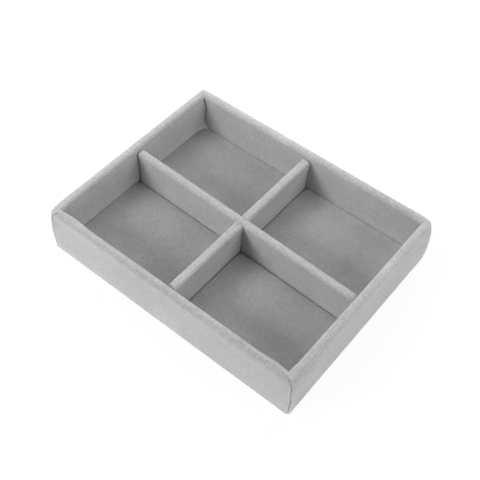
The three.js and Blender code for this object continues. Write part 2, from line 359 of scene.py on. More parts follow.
# Where the seams lie: how far the front left one laps to the front, more towards the rim, and how
# it turns square over the rim; the front right one's sway, and how it leans on the rim; and how
# far the back left crease is pushed along below the rim, a little lower and at the foot
SEAM_DEPTHS = (RIM_CREST - 1.0, WALL - 0.5)
LAP = 0.8
HIGH_LAP = (0.3, 12.0, 20.0)
LAP_TURN = (21.0, 23.6)
LAP_DEPTH = 3.1
LAP_SLOPE = 0.86
SWAY = (0.38, 10.0, 5.0)
RIM_LEAN = (1.25, 20.0, 24.6)
RIM_LEAN_DEPTHS = (2.8, WALL - 0.1)
HIGH_PUSH = (0.7, 18.0, 21.0)
MIDDLE_PUSH = (0.3, 17.0, 3.0)
FOOT_PUSH = (1.9, 4.2, 7.5)

# How the seams look: the heights between which they come up from the fold and go over into the
# rim, the rolled edge and its least share, the turned edge, the shade along the seam, and the
# crease where two inner leaves meet
SEAM_FOOT = (0.8, 3.0)
SEAM_TOP = (19.5, 22.5)
EDGE_ROLL = 0.45
LEAST_GROOVE = 0.2
TURNED_FOOT = (4.0, 14.0)
TURNED_PLACE = 0.8
TURNED_WIDTH = 0.5
SHADE_WIDTH = 0.45
SHADE_HEIGHTS = (17.0, 21.5)
CREASE_WIDTH = 0.9
CREASE_DEPTH = 0.55
CREASE_TOP = (20.5, 22.6)

# How far the rim's inner edge is pushed in near an end of a side: amount, how far from the corner,
# and over which width. Then the heights and depths between which the push sets in
BUNCHED = {
    ("front", "left"): (0.5, 8.0, 6.0),
    ("front", "right"): (0.45, 6.0, 4.5),
    ("right", "left"): (0.6, 0.0, 3.2),
}
BUNCHED_HEIGHTS = (16.0, 22.5)
BUNCHED_DEPTHS = (1.0, 3.0)

# How full the rim's inner edge is on each side, on the right more towards the front, and the fold
# at the foot: amount, then depth, height and width of the bell. How far from a seam the full
# edge sets in, and how calm the pile's lumps are on the outer leaf and on the rim
RIM_FULLNESS = dict(front=0.0, right=-0.12, back=0.18, left=0.12)
RIGHT_FULLNESS = (0.42, -30.0, 10.0)
FULL_EDGE = (1.0, 3.5, 23.1, 1.0)
FULL_EDGE_ENDS = (0.5, 3.0)
FULL_FOLD = (0.28, 0.29, 0.54, 0.55)
OUTER_CALM = 0.35
RIM_CALM = 0.3

# Painted light and shade in the walls' colour: painted light from a height down to the foot on
# the outer and the inner leaf, on the rims, and just above the table. On the front painted shade on
# the outer bend and a painted highlight along the inner edge, on the right painted shade on the
# shoulder near the front corner, on the left painted light on the inner leaf towards the back and
# under the rim
OUTER_PAINTED_LIGHT = dict(front=(1.1, 3.0, 17.0), right=(1.6, 3.0, 20.0), back=(1.0, 3.0, 17.0))
OUTER_PAINTED_LIGHT["left"] = OUTER_PAINTED_LIGHT["back"]
INNER_PAINTED_LIGHT = dict(front=(1.0, 3.0, 15.0), back=(1.3, 3.0, 15.0), left=(3.0, 3.0, 12.0))
INNER_PAINTED_LIGHT["right"] = INNER_PAINTED_LIGHT["front"]
TABLE_PAINTED_LIGHT = (0.9, 0.5, 6.0)
RIM_HEIGHTS = (21.5, 23.5)
RIM_PAINTED_LIGHT = dict(front=0.0, right=0.3, back=0.4, left=0.8)
RIGHT_RIM_BACK = (0.6, -10.0, 35.0)
RIGHT_RIM_DEPTHS = (0.5, 1.8)
BACK_RIM_LEFT = (1.2, -15.0, 5.0)
FRONT_BEND_SHADE = (1.2, 0.6, 23.4, 1.3)
FRONT_EDGE_HIGHLIGHT = (1.1, 3.3, 23.3, 0.6)
RIGHT_SHADE = (1.3, 20.0, 4.5)
RIGHT_SHADE_END = (-44.0, -26.0)
LEFT_BACK_PAINTED_LIGHT = (0.6, 12.0, 38.0)
LEFT_TOP_PAINTED_LIGHT = (0.9, 20.6, 1.3)
LEFT_TOP_START = (-46.0, -22.0)

# Long shallow wrinkles below the rim, as stretched lumps, and a hollow shoulder towards the front's
# right end. On the right a hollow along a bent line and a ridge along a slanting one: amount and
# width, the line by its height, its bend or slope and the place that these are counted from, and
# where both begin and end
WRINKLES = (0.07, 21.0, 2.4)
WRINKLE_STRETCH = (0.1, 0.1, 0.7)
WRINKLE_SIDE = 1.5
WRINKLE_SEED = 21
FRONT_SHOULDER = (0.5, 23.2, 1.5)
FRONT_SHOULDER_ENDS = (-5.0, 52.0)
RIGHT_HOLLOW = (0.55, 1.0)
RIGHT_HOLLOW_LINE = (22.1, 0.027, -35.5)
RIGHT_HOLLOW_START = (-44.0, -41.0)
RIGHT_RIDGE = (0.3, 1.3)
RIGHT_RIDGE_LINE = (16.6, -0.52, -35.0)
RIGHT_RIDGE_START = (-46.5, -43.0)
RIGHT_LINES_END = (-31.0, -24.0)


def wall_section():
    """The seen face of a wall's velvet in section, depth inwards and height: under the base from
    the hem's edge, round the fold, up the outer leaf, over the rim and down the inner leaf. The
    rim rounds off outside in a quarter circle and inside in a taller quarter ellipse."""
    inner_top = TRAY_HEIGHT - RIM_DROP
    fold_top = HEM_BOTTOM + FOLD_RADIUS
    return joined(
        run_line((HEM_WIDTH, HEM_BOTTOM), (FOLD_RADIUS, HEM_BOTTOM)),
        run_arc((FOLD_RADIUS, fold_top), FOLD_RADIUS, 270, 180),
        run_line((0, fold_top), (0, TRAY_HEIGHT - RIM_RADIUS)),
        run_arc((RIM_RADIUS, TRAY_HEIGHT - RIM_RADIUS), RIM_RADIUS, 180, 90),
        run_line((RIM_RADIUS, TRAY_HEIGHT), (RIM_CREST, TRAY_HEIGHT)),
        run_arc((RIM_CREST, inner_top), (WALL - RIM_CREST, RIM_DROP), 90, 0, 2 * ARC_POINTS),
        run_line((WALL, inner_top), (WALL, BASE_TOP)),
    )


def seam_shift(corner, depth, height):
    """How far the seam of a corner lies from the middle of the corner, along the walls and
    counter-clockwise. At the front left corner the side wall's velvet laps a little to the front,
    crosses the end of the front rim and meets the front velvet square to it. At the front right
    the seam sways. At the back left the crease of the two inner leaves is pushed to the right."""
    outside = 1 - smooth_step(depth, *SEAM_DEPTHS)
    if corner == "front_left":
        on_rim = smooth_step(height, *LAP_TURN)
        square = np.clip(WALL - depth, 0, LAP_DEPTH) * LAP_SLOPE
        leaning = LAP + rising(height, *HIGH_LAP)
        return leaning * outside * (1 - on_rim) + on_rim * square
    if corner == "front_right":
        leaning = rising(height, *RIM_LEAN) * falling(depth, 1.0, *RIM_LEAN_DEPTHS)
        return bell(height, *SWAY) * outside - leaning
    if corner == "back_left":
        pushed = falling(height, *HIGH_PUSH) + bell(height, *MIDDLE_PUSH)
        return -(pushed + falling(height, *FOOT_PUSH)) * (depth > WALL - TINY)
    return 0 * depth


def seam_strength(on_rim, depth, height):
    """How strongly a seam shows: whole on the outer leaf, with the given share on the rim, and
    not at all under the fold and on the inner leaf."""
    strength = on_rim + (1 - on_rim) * falling(height, 1.0, *SEAM_TOP)
    return strength * smooth_step(height, *SEAM_FOOT) * (depth < RIM_RADIUS)


def column_places(half):
    """Columns of a wall's velvet: place of the straight part's columns from the middle, and for
    those near an end the share of the way from the straight part to the seam. The columns crowd
    towards the seam."""
    straight_end = half - END_RUN
    count = 1 + round(2 * straight_end / STEP)
    straight = np.linspace(-straight_end, straight_end, count)
    share = 1 - (1 - np.linspace(0, 1, END_COLUMNS + 1)[1:]) ** END_CROWDING
    core = np.concatenate(
        [np.full(END_COLUMNS, -straight_end), straight, np.full(END_COLUMNS, straight_end)]
    )
    towards = np.concatenate([share[::-1], np.zeros(count), share])
    return core, towards


def round_corner(core, towards, depth, half, radius, shift, past):
    """Plan place of each point of a wall's velvet, along and across the wall, and its distance
    from the seam. A point walks from the wall's middle along its own depth: straight on, then
    round a quarter circle of what is left of the corner's radius, then along the next wall. An
    inner leaf that is pushed past its corner cuts it instead, on a parabola that leaves the wall
    twice as far before the corner as the seam lies past it."""
    side = np.where(core < 0, -1.0, 1.0)
    reach = np.maximum(radius - depth, 0)
    straight = half - np.maximum(radius, depth)
    to_seam = straight + reach * math.pi / 4 + shift
    walked = np.abs(core) + towards * (to_seam - np.abs(core))
    angle = np.clip((walked - straight) / np.maximum(reach, TINY), 0, math.pi / 2)
    beyond = np.maximum(walked - straight - reach * math.pi / 2, 0)
    along = side * (np.minimum(walked, straight) + reach * np.sin(angle))
    across = depth + reach * (1 - np.cos(angle)) + beyond
    from_seam = to_seam - walked
    cut = np.clip(from_seam / np.maximum(3 * past, TINY), 0, 1)
    cuts = (past > TINY) & (cut < 1)
    along = np.where(cuts, side * (straight - 2 * past * cut), along)
    across = np.where(cuts, depth + past * (1 - cut) ** 2, across)
    return along, across, from_seam


def wall_relief(side, corner, at_left, flat, depth, height, from_seam, from_corner, seam):
    """How far a wall's velvet stands out, square to its section: the pile's lumps, less the groove
    of the seam and the crease of the inner leaves, which are rolled edges, and less the wear at
    the rim of a corner. Then the corner's swelling, the full fold at the foot, the turned edge of
    the seam and the full inner edge of the rim, which are bells. Dents and the pressed foot come
    off it, and the cloth keeps a least thickness."""
    on_rim = smooth_step(height, TRAY_HEIGHT - RIM_DROP, TRAY_HEIGHT - RIM_RADIUS)
    inner = smooth_step(depth, RIM_CREST, WALL)
    rise = pile_height(flat) * (1 - OUTER_CALM * (depth < RIM_RADIUS) - RIM_CALM * on_rim)
    shown = LEAST_GROOVE + (1 - LEAST_GROOVE) * seam
    rise -= rolled_edge(from_seam, EDGE_ROLL, corner["groove"]) * shown * (1 - inner)
    creased = falling(height, 1.0, *CREASE_TOP) * inner * (height > BASE_TOP)
    rise -= rolled_edge(from_seam, CREASE_WIDTH, CREASE_DEPTH) * creased
    worn = corner["worn"] * bump(from_corner, WORN_WIDTH) * smooth_step(height, *WORN_HEIGHTS)
    rise -= worn * (1 - inner)
    swelling = bump(from_corner, SWELL_WIDTH) * bump(height - SWELL_HEIGHT, SWELL_REACH)
    above_fold = smooth_step(height, *SWELL_FOOT) * (depth < FOLD_RADIUS)
    rise += corner["swell"] * swelling * above_fold
    rise += spot(depth, height, *FULL_FOLD)
    turned = corner["turned"] * at_left * smooth_step(height, *TURNED_FOOT) * seam
    rise += turned * bump(from_seam - TURNED_PLACE, TURNED_WIDTH)
    rise -= dents(side, flat, depth, height)
    fullness = RIM_FULLNESS[side]
    if side == "right":
        fullness = fullness + falling(flat[..., 1], *RIGHT_FULLNESS)
    full = spot(depth, height, *FULL_EDGE) * smooth_step(from_seam, *FULL_EDGE_ENDS)
    rise += fullness * full
    pressed = falling(height, FOOT_PRESS[side], PAD_TOP, FOOT_HEIGHT[side])
    return np.maximum(rise - pressed * (depth > WALL - TINY), -THINNEST)


def rim_push(side, at_left, depth, height, from_corner):
    """How far the rim's inner edge is pushed into the tray: a bell along the wall near an end,
    which sets in up the inner leaf and over the rim."""
    push = 0 * depth
    for end, here in (("left", at_left), ("right", ~at_left)):
        if (side, end) in BUNCHED:
            push = push + bell(from_corner, *BUNCHED[side, end]) * here
    return push * smooth_step(height, *BUNCHED_HEIGHTS) * smooth_step(depth, *BUNCHED_DEPTHS)


def wall_velvet(name, quarter_turns, along, across, left, right, material):
    """A wall's velvet: its section carried along the wall and round half of each corner. Its
    relief moves each point square to the section, and near the front corners the rim's inner edge
    is pushed in."""
    side = name.split("_")[0]
    turn = np.radians(90 * quarter_turns)
    section, outward = wall_section()
    core, towards = column_places(along / 2)
    depth, height = (section[:, None, k] + 0 * core for k in (0, 1))
    at_left = core < 0
    corner = {
        key: np.where(at_left, number, CORNERS[right][key]) for key, number in CORNERS[left].items()
    }
    rounder = (corner["top_radius"] - corner["radius"]) * smooth_step(height, *ROUNDING)
    radius = corner["radius"] + rounder
    shift = np.where(at_left, -seam_shift(left, depth, height), seam_shift(right, depth, height))
    past = np.maximum(shift, 0) * (depth > WALL - TINY)
    seam = seam_strength(corner["rim_seam"], depth, height)
    shift = shift - corner["gap"] / 2 * seam

    def place(depth_now, height_now):
        x, y, from_seam = round_corner(core, towards, depth_now, along / 2, radius, shift, past)
        y = y - across / 2
        world = (x * np.cos(turn) - y * np.sin(turn), x * np.sin(turn) + y * np.cos(turn))
        return np.stack([*np.broadcast_arrays(*world, height_now)], axis=-1), from_seam

    flat, from_seam = place(depth, height)
    from_corner = from_seam - shift
    rise = wall_relief(side, corner, at_left, flat, depth, height, from_seam, from_corner, seam)
    seen, _ = place(depth + rise * outward[:, None, 0], height + rise * outward[:, None, 1])
    glued, _ = place(depth - VELVET * outward[:, None, 0], height - VELVET * outward[:, None, 1])
    push = rim_push(side, at_left, depth, height, from_corner)
    pushed = push[..., None] * np.array([-np.sin(turn), np.cos(turn), 0.0])
    bend = smooth_step(height, *OPEN_RIM)
    opened = WALL_PILE * bend + OUTER_PILE[side] * (1 - bend) * (depth < WALL / 2)
    # Painted shade along the seam where it goes over the rim
    shade = corner["shade"] * bump(from_seam, SHADE_WIDTH) * seam
    pale = wall_painted_light(side, flat, depth, height) - shade * smooth_step(height, *SHADE_HEIGHTS)
    cover, board = name.replace("velvet", "cover"), name.replace("velvet", "board")
    seen, glued = seen + pushed, glued + pushed
    piece = cloth_object(
        name, seen, glued, [cover], material, opened=opened, pale=pale
    )
    return piece


def wall_painted_light(side, points, depth, height):
    """Painted light and shade in a wall's colour: painted light more and more down to its foot on
    both leaves, once more just above the table, and more on the rims, most of all at the left half
    of the back and towards the right wall's back end. On the front painted shade along the rim's
    outer bend and in the pucker, and a painted highlight along the inner edge. On the right painted
    shade under the rim near the front corner. On the left painted light on the inner leaf towards
    the back, and under the rim."""
    outer, inner = depth < WALL / 2, depth > WALL / 2
    x, y = points[..., 0], points[..., 1]
    pale = outer * falling(height, *OUTER_PAINTED_LIGHT[side]) + inner * falling(height, *INNER_PAINTED_LIGHT[side])
    rim = RIM_PAINTED_LIGHT[side]
    if side == "right":
        rim = smooth_step(depth, *RIGHT_RIM_DEPTHS) * (rim + rising(y, *RIGHT_RIM_BACK))
    if side == "back":
        rim = rim + falling(x, *BACK_RIM_LEFT)
    pale = pale + rim * smooth_step(height, *RIM_HEIGHTS)
    pale = pale + falling(height, *TABLE_PAINTED_LIGHT) * outer
    if side == "front":
        pale = pale - spot(depth, height, *FRONT_BEND_SHADE)
        pale = pale + spot(depth, height, *FRONT_EDGE_HIGHLIGHT)
        pale = pale - PUCKER_SHADE * pucker(points, FRONT_PUCKER)
    if side == "right":
        near = falling(y, 1.0, *RIGHT_SHADE_END) * (depth < RIM_RADIUS)
        pale = pale - near * bell(height, *RIGHT_SHADE)
    if side == "left":
        pale = pale + rising(y, *LEFT_BACK_PAINTED_LIGHT) * inner
        pale = pale + smooth_step(y, *LEFT_TOP_START) * bell(height, *LEFT_TOP_PAINTED_LIGHT) * inner
    return pale


def dents(side, points, depth, height):
    """Long shallow wrinkles of the outer leaf below the rim, where the velvet was pulled over:
    lumps stretched level. The front has a small pucker near its left end and a hollow shoulder
    near its right end. The right side has a hollow along its shoulder and a ridge under it, each
    a bell across a line: the hollow's is a parabola, and the ridge's is straight."""
    outer = depth < RIM_RADIUS
    x, y = points[..., 0], points[..., 1]
    wrinkled = lumps(points * WRINKLE_STRETCH, WRINKLE_SIDE, WRINKLE_SEED)
    hollow = bell(height, *WRINKLES) * outer * wrinkled
    if side == "front":
        hollow = hollow + FRONT_PUCKER_DEPTH * pucker(points, FRONT_PUCKER)
        shoulder = smooth_step(x, *FRONT_SHOULDER_ENDS) * bell(height, *FRONT_SHOULDER)
        hollow = hollow + shoulder * outer
    if side == "right":
        ending = falling(y, 1.0, *RIGHT_LINES_END)
        lowest, bend, start = RIGHT_HOLLOW_LINE
        amount, width = RIGHT_HOLLOW
        line = lowest + bend * (y - start) ** 2
        window = smooth_step(y, *RIGHT_HOLLOW_START) * ending
        hollow = hollow + window * bell(height, amount, line, width) * outer
        first, slope, start = RIGHT_RIDGE_LINE
        amount, width = RIGHT_RIDGE
        line = first + slope * (y - start)
        window = smooth_step(y, *RIGHT_RIDGE_START) * ending
        hollow = hollow - window * bell(height, amount, line, width) * outer
    return hollow


# Dividers

# How far their upper half swells and leans, how the top corner is eased down at the ends, how near
# the crossing the cross divider's velvet is skewed, and how their colour is made lighter or darker:
# painted light at the foot, darker on the cross divider's upper half, and on the long divider's
# right half and all over it
DIVIDER_SWELL = dict(long=0.38, cross=0.45)
DIVIDER_LEAN = dict(long=0.02, cross=0.28)
EASE_WIDTH = 1.6
EASE_HEIGHTS = (17.0, DIVIDER_TOP)
GLUED_EASE = 0.5
SKEW_WIDTH = 6.0
CROSS_FOOT_PAINTED_LIGHT = (1.7, 4.5, 8.0)
CROSS_UPPER_SHADE = (0.8, 9.0, 15.0)
LONG_FOOT_PAINTED_LIGHT = (0.6, 4.5, 7.0)
LONG_RIGHT_SHADE = (0.5, 0.0, 8.0)
LONG_SHADE = 0.15


def divider_section():
    """The seen face of a divider's velvet in section, across and height: up one side, over the
    rounded top and down the other side. The row at the notch's top is kept exact."""
    half = DIVIDER / 2
    top_centre = DIVIDER_TOP - DIVIDER_RADIUS
    return joined(
        run_line((-half, BASE_TOP), (-half, NOTCH_TOP)),
        run_line((-half, NOTCH_TOP), (-half, top_centre)),
        run_arc((DIVIDER_RADIUS - half, top_centre), DIVIDER_RADIUS, 180, 90, DIVIDER_ARC_POINTS),
        run_line((DIVIDER_RADIUS - half, DIVIDER_TOP), (half - DIVIDER_RADIUS, DIVIDER_TOP)),
        run_arc((half - DIVIDER_RADIUS, top_centre), DIVIDER_RADIUS, 90, 0, DIVIDER_ARC_POINTS),
        run_line((half, top_centre), (half, NOTCH_TOP)),
        run_line((half, NOTCH_TOP), (half, BASE_TOP)),
    )


def crowded(start, end):
    """Places from start to end about one step apart, crowded towards both ends."""
    places = np.linspace(start, end, 1 + round((end - start) / STEP))
    return np.unique(np.concatenate([places, start + END_MARGINS, end - END_MARGINS]))


def long_divider_at(x):
    """Where the long divider's middle stands at a place along the tray."""
    return LONG_DIVIDER_Y + LONG_DIVIDER_SLOPE * x


def divider_tone_and_painted_light(side, points, along, height):
    """How much lighter or darker a divider's colour is made: painted light at the foot, darker on
    the upper half of the cross divider's faces and on those of the long divider's right half, plain
    on the rounded top, and painted shade in the pucker."""
    if side == "cross":
        pale = falling(height, *CROSS_FOOT_PAINTED_LIGHT) - rising(height, *CROSS_UPPER_SHADE)
    else:
        pale = falling(height, *LONG_FOOT_PAINTED_LIGHT) - rising(along, *LONG_RIGHT_SHADE) - LONG_SHADE
    on_face = falling(height, 1.0, DIVIDER_TOP - DIVIDER_RADIUS, DIVIDER_TOP)
    return pale * on_face - PUCKER_SHADE * pucker(points, CROSS_PUCKER)


def divider_velvet(name, places, set_out, ends, notch, material):
    """A divider's velvet: its section carried along, with each end rolled in and its top corner
    eased down. Near the top the section swells, and leans a little to the front or the right. At
    the foot it is pressed in, where the long divider's front face bulges instead towards its left
    end. The cross divider's top has a pucker. set_out turns along, across and height into a place
    in the tray, and the notch is left out below its top."""
    side = name.split("_")[0]
    section, outward = divider_section()
    along = places[None, :] + 0 * section[:, :1]
    across, height = (section[:, None, k] + 0 * places for k in (0, 1))
    upper = smooth_step(height, NOTCH_TOP, DIVIDER_TOP - DIVIDER_RADIUS)
    press = FOOT_PRESS[side]
    if side == "long":
        press = press - LONG_BULGE * np.clip(-2 * along / INNER_LENGTH, 0, 1) * (across < 0)
    pressed = falling(height, press, PAD_TOP, FOOT_HEIGHT[side])
    swollen = across * (1 + (upper * DIVIDER_SWELL[side] - pressed) * 2 / DIVIDER)
    across = swollen - DIVIDER_LEAN[side] * upper
    flat = set_out(along, across, height)
    rise = pile_height(flat)
    drop = 0 * along
    for distance, (roll, ease) in zip((along - places[0], places[-1] - along), ends):
        rise -= rolled_edge(distance, roll, roll)
        drop += rolled_edge(distance, EASE_WIDTH, ease) * smooth_step(height, *EASE_HEIGHTS)
    rise -= CROSS_PUCKER_DEPTH * pucker(flat, CROSS_PUCKER)
    rise = np.maximum(rise, pressed - THINNEST)
    seen = set_out(
        along, across + rise * outward[:, None, 0], height + rise * outward[:, None, 1] - drop
    )
    glued = set_out(
        along,
        across - VELVET * outward[:, None, 0],
        height - VELVET * outward[:, None, 1] - drop * GLUED_EASE,
    )
    kept = np.ones((len(section) - 1, len(places) - 1), bool)
    if notch:
        middle_height = (section[1:, 1] + section[:-1, 1])[:, None] / 2
        middle_along = (places[1:] + places[:-1])[None, :] / 2
        inside = (middle_along > notch[0]) & (middle_along < notch[1])
        kept = ~(inside & (middle_height < NOTCH_TOP))
    opened = smooth_step(height, *OPEN_TOP)
    # Painted light and shade, and some plain tone, for the velvet's colour
    pale = divider_tone_and_painted_light(side, flat, along, height)
    cover = [name.replace("velvet", "cover")]
    piece = cloth_object(name, seen, glued, cover, material, kept, opened, pale)
    return piece


def on_long_divider(along, across, height):
    """Along the tray, turned a little out of square."""
    return np.stack([along, long_divider_at(along) + across, height], axis=-1)


def across_tray(along, across, height):
    """Square across the tray. Near the crossing the sleeve's end follows the long divider."""
    from_crossing = along - long_divider_at(CROSS_DIVIDER_X)
    skew = LONG_DIVIDER_SLOPE * -across * bump(from_crossing, SKEW_WIDTH)
    return np.stack([CROSS_DIVIDER_X - across, along + skew, height], axis=-1)


# Pads and lining

# How much lighter or darker the pads' colour is made. At the back: painted light along the wall,
# on the right pad towards its back and its corner, and the left pad darker all over. At the front:
# painted shade along the long divider, the right pad's darker band across, the left pad darker all
# over and its lighter end at the wall
BACK_PAD_WALL = (1.3, 38.5, 43.0)
BACK_PAD_DEEP = (18.0, 32.0)
BACK_PAD_CORNER = (40.0, 52.0)
BACK_LEFT_SHADE = 0.3
FRONT_PAD_SHADE = (0.9, -5.5, -DIVIDER / 2)
FRONT_PAD_BAND = (0.7, 33.0, 6.0)
FRONT_LEFT_SHADE = 0.2
FRONT_PAD_WALL = (0.9, -57.0, -52.0)

# Lining: the insets and heights of its edge, the side and the seed of the felt's lumps, and how
# far they stand off
LINING_INSETS = (0.0, 0.0, 0.1)
LINING_HEIGHTS = (LINING, 0.08, 0.0)
FELT_LUMPS = (1.3, 31)
FELT_RELIEF = 0.02


def square_rings(size, insets, heights, radius):
    """A flat piece drawn as square rings from its outline inwards. Each grid point belongs to the
    ring given by its distance in cells from the nearest side. A ring is set in by its own inset,
    and near a corner its points move on to the arc that is left of the corner's radius there.
    The result is the place from one corner, as two lengths, the height and the inset."""
    edge_rings = len(insets) - 1
    cells = [2 * edge_rings + 2 * round((s / 2 - insets[-1]) / STEP) for s in size]
    column, row = np.meshgrid(np.arange(cells[0] + 1), np.arange(cells[1] + 1))
    ring = np.minimum.reduce([column, cells[0] - column, row, cells[1] - row])
    deepest = min(cells) // 2
    inner = np.linspace(insets[-1], min(size) / 2, deepest - edge_rings + 1)[1:]
    inset = np.concatenate([insets, inner])[ring]
    height = np.concatenate([heights, np.full(len(inner), heights[-1])])[ring]
    sides = []
    for grid, count, length in ((column, cells[0], size[0]), (row, cells[1], size[1])):
        span = np.maximum(count - 2 * ring, TINY)
        share = np.where(count > 2 * ring, (grid - ring) / span, 0.5)
        sides.append((share, share * (length - 2 * inset)))
    near = [
        np.minimum(place, length - 2 * inset - place)
        for (_, place), length in zip(sides, size)
    ]
    left_over = np.maximum(radius - inset, 0)
    from_corner = np.maximum(*near)
    swing = np.radians(45) * np.clip(1 - from_corner / np.maximum(left_over, TINY), 0, 1)
    turning = from_corner < left_over
    along_side = left_over * (1 - np.sin(swing))
    off_side = left_over * (1 - np.cos(swing))
    places = []
    for k, length in enumerate(size):
        leads = near[k] >= near[1 - k]
        pushed = inset + np.where(leads, along_side, off_side)
        plain = inset + near[k]
        from_side = np.where(turning, pushed, plain)
        low_half = sides[k][0] <= 0.5
        places.append(np.where(low_half, from_side, length - from_side))
    return places[0], places[1], height, inset


def set_in_corners(corners, size, x, y):
    """A point of a rectangle of the given size, moved into the four corners by blending them."""
    u, v = (x / size[0])[..., None], (y / size[1])[..., None]
    low = corners[0] * (1 - u) + corners[1] * u
    high = corners[3] * (1 - u) + corners[2] * u
    return low * (1 - v) + high * v


def pad_corners(side_x, side_y):
    """The corners of a pad, counter-clockwise from its lowest x and y. Each side stands at the
    face beside it, pushed in by that face's press and kept off by its gap. A front pad's left
    corner at the long divider is pulled off it."""
    room = {face: FOOT_PRESS[face] - PAD_GAP[face] for face in FOOT_PRESS}
    outer_x = side_x * (INNER_LENGTH / 2 + room["left" if side_x < 0 else "right"])
    inner_x = CROSS_DIVIDER_X + side_x * (DIVIDER / 2 - room["cross"])
    outer_y = side_y * (INNER_WIDTH / 2 + room["front" if side_y < 0 else "back"])
    xs = sorted([outer_x, inner_x])
    walls = [(x, outer_y) for x in xs]
    dividers = [(x, long_divider_at(x) + side_y * (DIVIDER / 2 - room["long"])) for x in xs]
    if side_y < 0:
        pull = LONG_BULGE if side_x < 0 else PAD_PULL
        dividers[0] = (dividers[0][0], dividers[0][1] - pull)
    low, high = (walls, dividers) if side_y < 0 else (dividers, walls)
    return np.array([low[0], low[1], high[1], high[0]])


def pad_tone_and_painted_light(points, side_x, side_y):
    """How much lighter or darker a pad's colour is made. At the back: painted light along the wall,
    on the right pad also all over its back corner, and on the left pad a little darker all over. At
    the
    front: painted shade along the long divider, on the right pad also darker in a band across it,
    and on the left pad a little darker all over and lighter at the left wall."""
    x, y = points[..., 0], points[..., 1]
    if side_y > 0:
        pale = rising(y, *BACK_PAD_WALL)
        if side_x > 0:
            return pale + smooth_step(y, *BACK_PAD_DEEP) * (1.0 + smooth_step(x, *BACK_PAD_CORNER))
        return pale - BACK_LEFT_SHADE
    from_divider = y - long_divider_at(x)
    foot = -rising(from_divider, *FRONT_PAD_SHADE)
    if side_x > 0:
        return foot - bell(x, *FRONT_PAD_BAND)
    return foot - FRONT_LEFT_SHADE + falling(x, *FRONT_PAD_WALL)


def pad_velvet(name, side_x, side_y, material):
    """A pad's velvet: the sides stand on the base, the edge is a soft quarter round, and the top
    is crowned a little and has the pile's relief."""
    corners = pad_corners(side_x, side_y)
    size = (np.ptp(corners[:, 0]), np.linalg.norm(corners[3] - corners[0]))
    profile, outward = joined(
        run_line((0, BASE_TOP), (0, PAD_TOP - PAD_EDGE)),
        run_arc((PAD_EDGE, PAD_TOP - PAD_EDGE), PAD_EDGE, 180, 90),
    )
    lengths = (float(size[0]), float(size[1]))
    radius = BACK_LEFT_PAD_RADIUS if (side_x, side_y) == (-1, 1) else PAD_RADIUS
    x, y, height, inset = square_rings(lengths, profile[:, 0], profile[:, 1], radius)
    plan = set_in_corners(corners, lengths, x, y)
    seen = np.concatenate([plan, height[..., None]], axis=-1)
    relief = pile_height(seen)
    on_top = smooth_step(inset, PAD_RELIEF_START, PAD_EDGE)
    crown = PAD_CROWN * smooth_step(inset, PAD_EDGE, PAD_CROWN_END)
    seen[..., 2] += (relief + crown) * on_top
    under_profile = profile - VELVET * outward
    x, y, height, _ = square_rings(lengths, under_profile[:, 0], under_profile[:, 1], radius)
    glued = np.concatenate([set_in_corners(corners, lengths, x, y), height[..., None]], axis=-1)
    node = name.replace("velvet", "cover")
    # Painted light and shade, and some plain tone, for the pad's colour
    pale = pad_tone_and_painted_light(seen, side_x, side_y)
    piece = cloth_object(
        name, seen, glued, [node], material, opened=PAD_PILE, pale=pale
    )
    return piece


def base_lining(material):
    """The felt sheet under the tray: flat, with round corners. Its seen face looks down."""
    size = (TRAY_LENGTH - 2 * LINING_INSET, TRAY_WIDTH - 2 * LINING_INSET)
    x, y, height, _ = square_rings(size, LINING_INSETS, LINING_HEIGHTS, LINING_RADIUS)
    plan = np.stack([x - size[0] / 2, y - size[1] / 2], axis=-1)
    seen = np.concatenate([plan, height[..., None]], axis=-1)
    seen[..., 2] += FELT_RELIEF * (1 + lumps(seen, *FELT_LUMPS)) * (height < TINY)
    glued = np.concatenate([plan, np.full_like(height, LINING)[..., None]], axis=-1)
    glued[..., :2] *= 1 - TINY
    node = ["base_lining"]
    piece = cloth_object("base_felt", seen[:, ::-1], glued[:, ::-1], node, material)
    return piece


# Finishes


def finish_nodes(name):
    """A new finish: its node tree, its shader and its object coordinates."""
    material = bpy.data.materials.new(name)
    material.use_nodes = True
    tree = material.node_tree
    shader = next(node for node in tree.nodes if node.type == "BSDF_PRINCIPLED")
    coordinates = tree.nodes.new("ShaderNodeTexCoord")
    return material, tree, shader, coordinates.outputs["Object"]


def add_noise(tree, vector, lump, detail=2.0, roughness=0.5, stretch=None):
    """Random clouds with lumps of about the given size in millimetres."""
    if stretch:
        mapping = tree.nodes.new("ShaderNodeMapping")
        mapping.inputs["Scale"].default_value = stretch
        tree.links.new(vector, mapping.inputs["Vector"])
        vector = mapping.outputs["Vector"]
    noise = tree.nodes.new("ShaderNodeTexNoise")
    noise.inputs["Scale"].default_value = 1 / (lump * MM)
    noise.inputs["Detail"].default_value = detail
    noise.inputs["Roughness"].default_value = roughness
    tree.links.new(vector, noise.inputs["Vector"])
    return noise.outputs["Fac"]


def add_math(tree, operation, first, second):
    """A sum or product of two values, each a number or another node's result."""
    node = tree.nodes.new("ShaderNodeMath")
    node.operation = operation
    for socket, value in zip(node.inputs, (first, second)):
        if isinstance(value, (int, float)):
            socket.default_value = value
        else:
            tree.links.new(value, socket)
    return node.outputs["Value"]


def weighted(tree, *parts):
    """The parts added up, each (result, weight) counted from its middle value of a half, and the
    sum set round a half."""
    total = 0.5
    for result, weight in parts:
        centred = add_math(tree, "SUBTRACT", result, 0.5)
        scaled = add_math(tree, "MULTIPLY", centred, weight)
        total = add_math(tree, "ADD", scaled, total)
    return total


